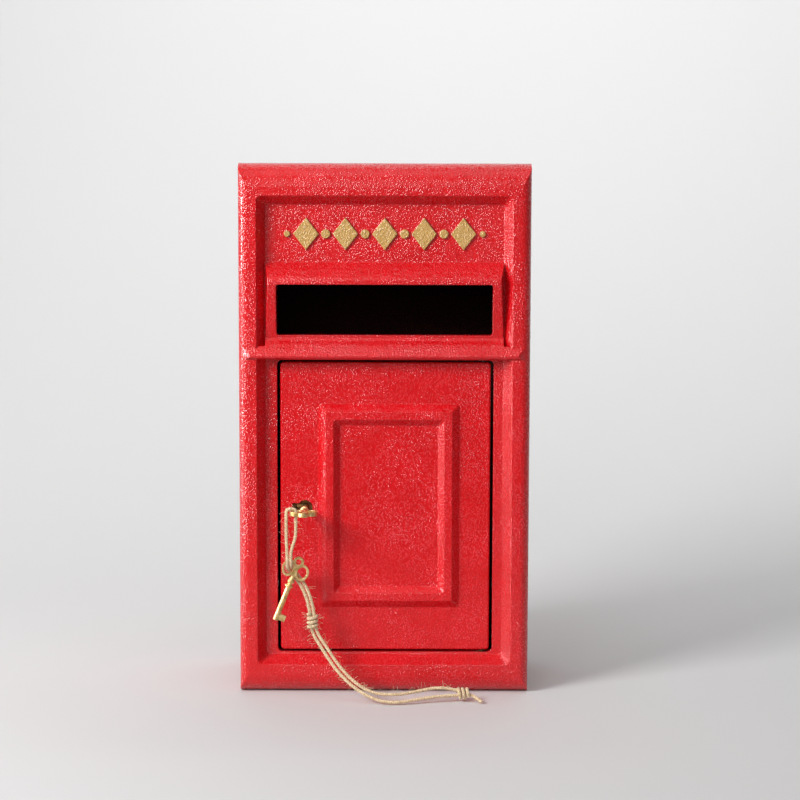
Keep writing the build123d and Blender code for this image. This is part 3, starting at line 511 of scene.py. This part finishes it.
turns.operation = "MULTIPLY"
phase = n.new("ShaderNodeMath")
phase.operation = "DIVIDE"
phase.inputs[1].default_value = 3.0
angle = n.new("ShaderNodeMath")
angle.operation = "ADD"
angle_rad = n.new("ShaderNodeMath")
angle_rad.operation = "MULTIPLY"
angle_rad.inputs[1].default_value = 2 * math.pi
cosine = n.new("ShaderNodeMath")
cosine.operation = "COSINE"
sine = n.new("ShaderNodeMath")
sine.operation = "SINE"
part_a = n.new("ShaderNodeVectorMath")
part_a.operation = "SCALE"
part_b = n.new("ShaderNodeVectorMath")
part_b.operation = "SCALE"
summed = n.new("ShaderNodeVectorMath")
scaled = n.new("ShaderNodeVectorMath")
scaled.operation = "SCALE"
move = n.new("GeometryNodeSetPosition")
ring = n.new("GeometryNodeCurvePrimitiveCircle")
ring.inputs["Resolution"].default_value = 8
skin = n.new("GeometryNodeCurveToMesh")
skin.inputs["Fill Caps"].default_value = True
link(inp.outputs["Route"], steps.inputs["Curve"])
link(steps.outputs["Curve"], thrice.inputs["Geometry"])
link(along.outputs["Length"], turns.inputs[0])
link(inp.outputs["Turns per metre"], turns.inputs[1])
link(thrice.outputs["Duplicate Index"], phase.inputs[0])
link(turns.outputs[0], angle.inputs[0])
link(phase.outputs[0], angle.inputs[1])
link(angle.outputs[0], angle_rad.inputs[0])
link(angle_rad.outputs[0], cosine.inputs[0])
link(angle_rad.outputs[0], sine.inputs[0])
link(tangent.outputs["Tangent"], side.inputs[0])
link(normal.outputs["Normal"], side.inputs[1])
link(normal.outputs["Normal"], part_a.inputs[0])
link(cosine.outputs[0], part_a.inputs["Scale"])
link(side.outputs["Vector"], part_b.inputs[0])
link(sine.outputs[0], part_b.inputs["Scale"])
link(part_a.outputs["Vector"], summed.inputs[0])
link(part_b.outputs["Vector"], summed.inputs[1])
link(summed.outputs["Vector"], scaled.inputs[0])
link(inp.outputs["Offset"], scaled.inputs["Scale"])
link(thrice.outputs["Geometry"], move.inputs["Geometry"])
link(scaled.outputs["Vector"], move.inputs["Offset"])
link(move.outputs["Geometry"], skin.inputs["Curve"])
link(inp.outputs["Strand radius"], ring.inputs["Radius"])
link(ring.outputs["Curve"], skin.inputs["Profile Curve"])
scatter = n.new("GeometryNodeDistributePointsOnFaces")
hair_line = n.new("GeometryNodeCurveQuadraticBezier")
hair_line.inputs["Resolution"].default_value = 5
hair_line.inputs["Start"].default_value = (0, 0, 0)
hair_line.inputs["Middle"].default_value = (0.0003, 0, 0.0010)
hair_line.inputs["End"].default_value = (0.0018, 0.0005, 0.0016)
hair_ring = n.new("GeometryNodeCurvePrimitiveCircle")
hair_ring.inputs["Resolution"].default_value = 3
hair_ring.inputs["Radius"].default_value = 0.00004
hair = n.new("GeometryNodeCurveToMesh")
tilt = n.new("FunctionNodeRandomValue")
tilt.data_type = "FLOAT_VECTOR"
tilt.inputs["Min"].default_value = (-1.35, -1.35, -3.1)
tilt.inputs["Max"].default_value = (1.35, 1.35, 3.1)
turn = n.new("FunctionNodeRotateRotation")
turn.rotation_space = "LOCAL"
to_rot = n.new("FunctionNodeEulerToRotation")
grow = n.new("FunctionNodeRandomValue")
grow.inputs["Min"].default_value = 0.2
link(inp.outputs["Longest fibre"], grow.inputs["Max"])
plant = n.new("GeometryNodeInstanceOnPoints")
real = n.new("GeometryNodeRealizeInstances")
# a fibre that reaches the floor lies on it
spot = n.new("GeometryNodeInputPosition")
spot_parts = n.new("ShaderNodeSeparateXYZ")
floor_up = n.new("ShaderNodeMath")
floor_up.operation = "MAXIMUM"
floor_up.inputs[1].default_value = 0.0001
spot_new = n.new("ShaderNodeCombineXYZ")
lie = n.new("GeometryNodeSetPosition")
link(spot.outputs["Position"], spot_parts.inputs["Vector"])
link(spot_parts.outputs["X"], spot_new.inputs["X"])
link(spot_parts.outputs["Y"], spot_new.inputs["Y"])
link(spot_parts.outputs["Z"], floor_up.inputs[0])
link(floor_up.outputs[0], spot_new.inputs["Z"])
link(real.outputs["Geometry"], lie.inputs["Geometry"])
link(spot_new.outputs["Vector"], lie.inputs["Position"])
choose = n.new("GeometryNodeSwitch")
choose.input_type = "GEOMETRY"
smooth = n.new("GeometryNodeSetShadeSmooth")
coat = n.new("GeometryNodeSetMaterial")
link(skin.outputs["Mesh"], scatter.inputs["Mesh"])
link(inp.outputs["Fibres"], scatter.inputs["Density"])
link(inp.outputs["Seed"], scatter.inputs["Seed"])
link(hair_line.outputs["Curve"], hair.inputs["Curve"])
link(hair_ring.outputs["Curve"], hair.inputs["Profile Curve"])
link(scatter.outputs["Points"], plant.inputs["Points"])
link(hair.outputs["Mesh"], plant.inputs["Instance"])
link(inp.outputs["Seed"], tilt.inputs["Seed"])
link(inp.outputs["Seed"], grow.inputs["Seed"])
link(tilt.outputs["Value"], to_rot.inputs["Euler"])
link(scatter.outputs["Rotation"], turn.inputs["Rotation"])
link(to_rot.outputs["Rotation"], turn.inputs["Rotate By"])
link(turn.outputs["Rotation"], plant.inputs["Rotation"])
link(grow.outputs["Value"], plant.inputs["Scale"])
link(plant.outputs["Instances"], real.inputs["Geometry"])
link(inp.outputs["Loose fibres only"], choose.inputs["Switch"])
link(skin.outputs["Mesh"], choose.inputs["False"])
link(lie.outputs["Geometry"], choose.inputs["True"])
link(choose.outputs["Output"], smooth.inputs["Geometry"])
link(smooth.outputs["Geometry"], coat.inputs["Geometry"])
link(inp.outputs["Material"], coat.inputs["Material"])
link(coat.outputs["Geometry"], out.inputs["Twine"])
lay_inputs = {s.name: s.identifier for s in face.items_tree if s.in_out == "INPUT"}

# The doubled twine: its two legs go from the loop on the key's bow through the spare key's bow and the upper
# knot, then down to the floor and along it to the lower knot and a short cut end. Each leg is a limp jute
# cord of its own; the loop, the knots and the cut end are laid in the same way.
left_points = [
    (-0.0694, -0.0697, 0.1215), (-0.0694, -0.0697, 0.1165), (-0.0689, -0.0706, 0.1075),
    (-0.0686, -0.0716, 0.0974), (-0.0689, -0.0614, 0.0926), (-0.0612, -0.0618, 0.0834),
    (-0.0560, -0.0642, 0.0746), (-0.0526, -0.0660, 0.0621), (-0.0522, -0.0662, 0.0485),
    (-0.0436, -0.0690, 0.0352), (-0.0340, -0.0730, 0.0215), (-0.0222, -0.0790, 0.0109),
    (-0.0104, -0.0845, 0.0049), (-0.0008, -0.0885, 0.0024), (0.0113, -0.0890, 0.0019),
    (0.0240, -0.0855, 0.0034), (0.0388, -0.0805, 0.0046), (0.0540, -0.0780, 0.0046),
]
right_points = [
    (-0.0626, -0.0697, 0.1215), (-0.0626, -0.0697, 0.1165), (-0.0662, -0.0706, 0.1075),
    (-0.0660, -0.0716, 0.0971), (-0.0663, -0.0614, 0.0934), (-0.0590, -0.0618, 0.0854),
    (-0.0534, -0.0642, 0.0758), (-0.0499, -0.0660, 0.0623), (-0.0494, -0.0664, 0.0495),
    (-0.0408, -0.0690, 0.0372), (-0.0316, -0.0730, 0.0239), (-0.0204, -0.0790, 0.0136),
    (-0.0094, -0.0830, 0.0079), (0.0013, -0.0846, 0.0064), (0.0112, -0.0844, 0.0066),
    (0.0240, -0.0815, 0.0082), (0.0350, -0.0790, 0.0100), (0.0460, -0.0780, 0.0100),
    (0.0540, -0.0780, 0.0076),
]
loop_points = [
    (-0.0694, -0.0697, 0.1215), (-0.0694, -0.0697, 0.1290), (-0.0696, -0.0697, 0.1368),
    (-0.0660, -0.0697, 0.1372), (-0.0624, -0.0697, 0.1368), (-0.0626, -0.0697, 0.1290),
    (-0.0626, -0.0697, 0.1215),
]
tail_points = [
    (0.0570, -0.0780, 0.0058), (0.0624, -0.0790, 0.0052), (0.0662, -0.0818, 0.0034),
    (0.0696, -0.0860, 0.0018),
]
# the knots wind round both legs: the upper one upright, the lower one lying along them
upper_turns, upper_steps, upper_radius, upper_rise = 3.6, 48, 0.0031, 0.0108
upper_wrap = []
for i in range(upper_steps + 1):
    t = i / upper_steps
    a = 2 * math.pi * upper_turns * t
    round_x, round_y = upper_radius * math.cos(a), upper_radius * math.sin(a)
    upper_wrap.append((-0.0510 + round_x, -0.0661 + round_y, 0.0500 + upper_rise * t))
lower_turns, lower_steps, lower_radius, lower_run = 2.6, 39, 0.0033, 0.0078
lower_wrap = []
for i in range(lower_steps + 1):
    t = i / lower_steps
    a = 2 * math.pi * lower_turns * t
    round_y, round_z = lower_radius * math.cos(a), lower_radius * math.sin(a)
    lower_wrap.append((0.0525 + lower_run * t, -0.0780 + round_y, 0.0060 + round_z))
for name, points, seed, longest, stands_for in (
    ("twine_left_leg", left_points, 3, 2.8, "twine_left"),
    ("twine_right_leg", right_points, 8, 2.8, "twine_right"),
    ("twine_bow_loop", loop_points, 5, 2.4, "twine_loop"),
    ("twine_upper_knot", upper_wrap, 11, 2.4, "knot_upper"),
    ("twine_lower_knot", lower_wrap, 14, 1.0, "knot_lower"),
    ("twine_tail", tail_points, 17, 1.8, None),
):
    route = bpy.data.curves.new(name + "_route", "CURVE")
    route.dimensions = "3D"
    route.resolution_u = 8
    spline = route.splines.new("NURBS")
    spline.points.add(len(points) - 1)
    for p, place in zip(spline.points, points):
        p.co = (*place, 1)
    spline.order_u = 3
    spline.use_endpoint_u = True
    holder = bpy.data.objects.new(name + "_route", route)
    scene.collection.objects.link(holder)
    bpy.context.view_layer.update()
    line_mesh = bpy.data.meshes.new_from_object(holder)
    bpy.data.meshes.remove(line_mesh)
    twist = holder.modifiers.new("lay", "NODES")
    twist.node_group = lay
    twist[lay_inputs["Seed"]] = seed
    twist[lay_inputs["Longest fibre"]] = longest
    twist[lay_inputs["Material"]] = jute_mat
    made = []
    for label, loose in ((name, False), (name + "_fibres", True)):
        twist[lay_inputs["Loose fibres only"]] = loose
        holder.update_tag()
        bpy.context.view_layer.update()
        depsgraph = bpy.context.evaluated_depsgraph_get()
        mesh = bpy.data.meshes.new_from_object(holder.evaluated_get(depsgraph))
        made.append(bpy.data.objects.new(label, mesh))
        scene.collection.objects.link(made[-1])
        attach(made[-1], "string")
    bpy.data.objects.remove(holder)
    if stands_for:
        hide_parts(stands_for)

# Floor and backdrop: one pale seamless sweep
sweep_mesh = bpy.data.meshes.new("sweep")
floor_front, floor_back, curve_radius, curve_steps, wall_top = -0.45, 0.3, 1.6, 24, 4.5
half_width = 4.0
profile = [(floor_front, 0.0), (floor_back, 0.0)]
for i in range(1, curve_steps + 1):
    a = math.radians(90 / curve_steps * i)
    profile.append((floor_back + curve_radius * math.sin(a), curve_radius * (1 - math.cos(a))))
profile.append((floor_back + curve_radius, wall_top))
verts = []
for y, z in profile:
    verts += [(-half_width, y, z), (half_width, y, z)]
faces = [(2 * i, 2 * i + 1, 2 * i + 3, 2 * i + 2) for i in range(len(profile) - 1)]
sweep_mesh.from_pydata(verts, [], faces)
sweep_mesh.shade_smooth()
backdrop = bpy.data.objects.new("backdrop", sweep_mesh)
scene.collection.objects.link(backdrop)
paper = bpy.data.materials.new("backdrop_paper")
paper.use_nodes = True
paper.node_tree.nodes["Principled BSDF"].inputs["Base Color"].default_value = (0.645, 0.645, 0.645, 1)
paper.node_tree.nodes["Principled BSDF"].inputs["Roughness"].default_value = 0.9
paper.node_tree.nodes["Principled BSDF"].inputs["Specular IOR Level"].default_value = 0.1
sweep_mesh.materials.append(paper)

# Soft studio light: a box and a weak wall of light to the left, a tall strip there that only shows in the
# gloss, a broad overhead, a fill from the camera's side, and a wash on the backdrop
for name, place, aim, wide, tall, power in (
    ("left_box", (-1.15, -1.05, 0.95), (0.0, 0.0, 0.2), 0.6, 0.6, 28.0),
    ("left_wall", (-1.4, -0.1, 0.6), (0.0, 0.0, 0.2), 1.4, 1.4, 2.0),
    ("left_strip", (-1.2, -0.2, 0.45), (0.0, -0.05, 0.2), 0.2, 1.3, 28.0),
    ("overhead", (0.1, -0.6, 2.1), (0.0, 0.0, 0.2), 1.3, 1.0, 5.5),
    ("fill", (-0.4, -2.3, 1.2), (0.0, 0.0, 0.2), 1.4, 1.4, 9.5),
    ("back_wash", (0.25, 0.7, 2.0), (0.25, 1.9, 1.3), 1.6, 1.6, 29.0),
):
    lamp = bpy.data.lights.new(name, "AREA")
    lamp.shape = "RECTANGLE"
    lamp.size = wide
    lamp.size_y = tall
    lamp.energy = power
    holder = bpy.data.objects.new(name, lamp)
    holder.location = place
    holder.rotation_euler = (Vector(aim) - Vector(place)).to_track_quat("-Z", "Y").to_euler()
    holder.visible_diffuse = name != "left_strip"
    scene.collection.objects.link(holder)
world = bpy.data.worlds.new("studio")
scene.world = world
world.use_nodes = True
world.node_tree.nodes["Background"].inputs["Color"].default_value = (1, 1, 1, 1)
world.node_tree.nodes["Background"].inputs["Strength"].default_value = 0.21

# Camera: level with the top of the box, a little to its right, looking slightly down
camera = bpy.data.cameras.new("camera")
camera.sensor_width = 36.0
focal_pixels, picture_pixels = 2145, 800
camera.lens = focal_pixels / picture_pixels * camera.sensor_width
holder = bpy.data.objects.new("camera", camera)
holder.location = (0.0107, -1.573, 0.3794)
look_down, roll = 6.24, -0.15
holder.rotation_euler = Euler((math.radians(90 - look_down), math.radians(roll), 0), "XYZ")
scene.collection.objects.link(holder)
scene.camera = holder
scene.view_settings.view_transform = "Standard"
scene.view_settings.look = "None"
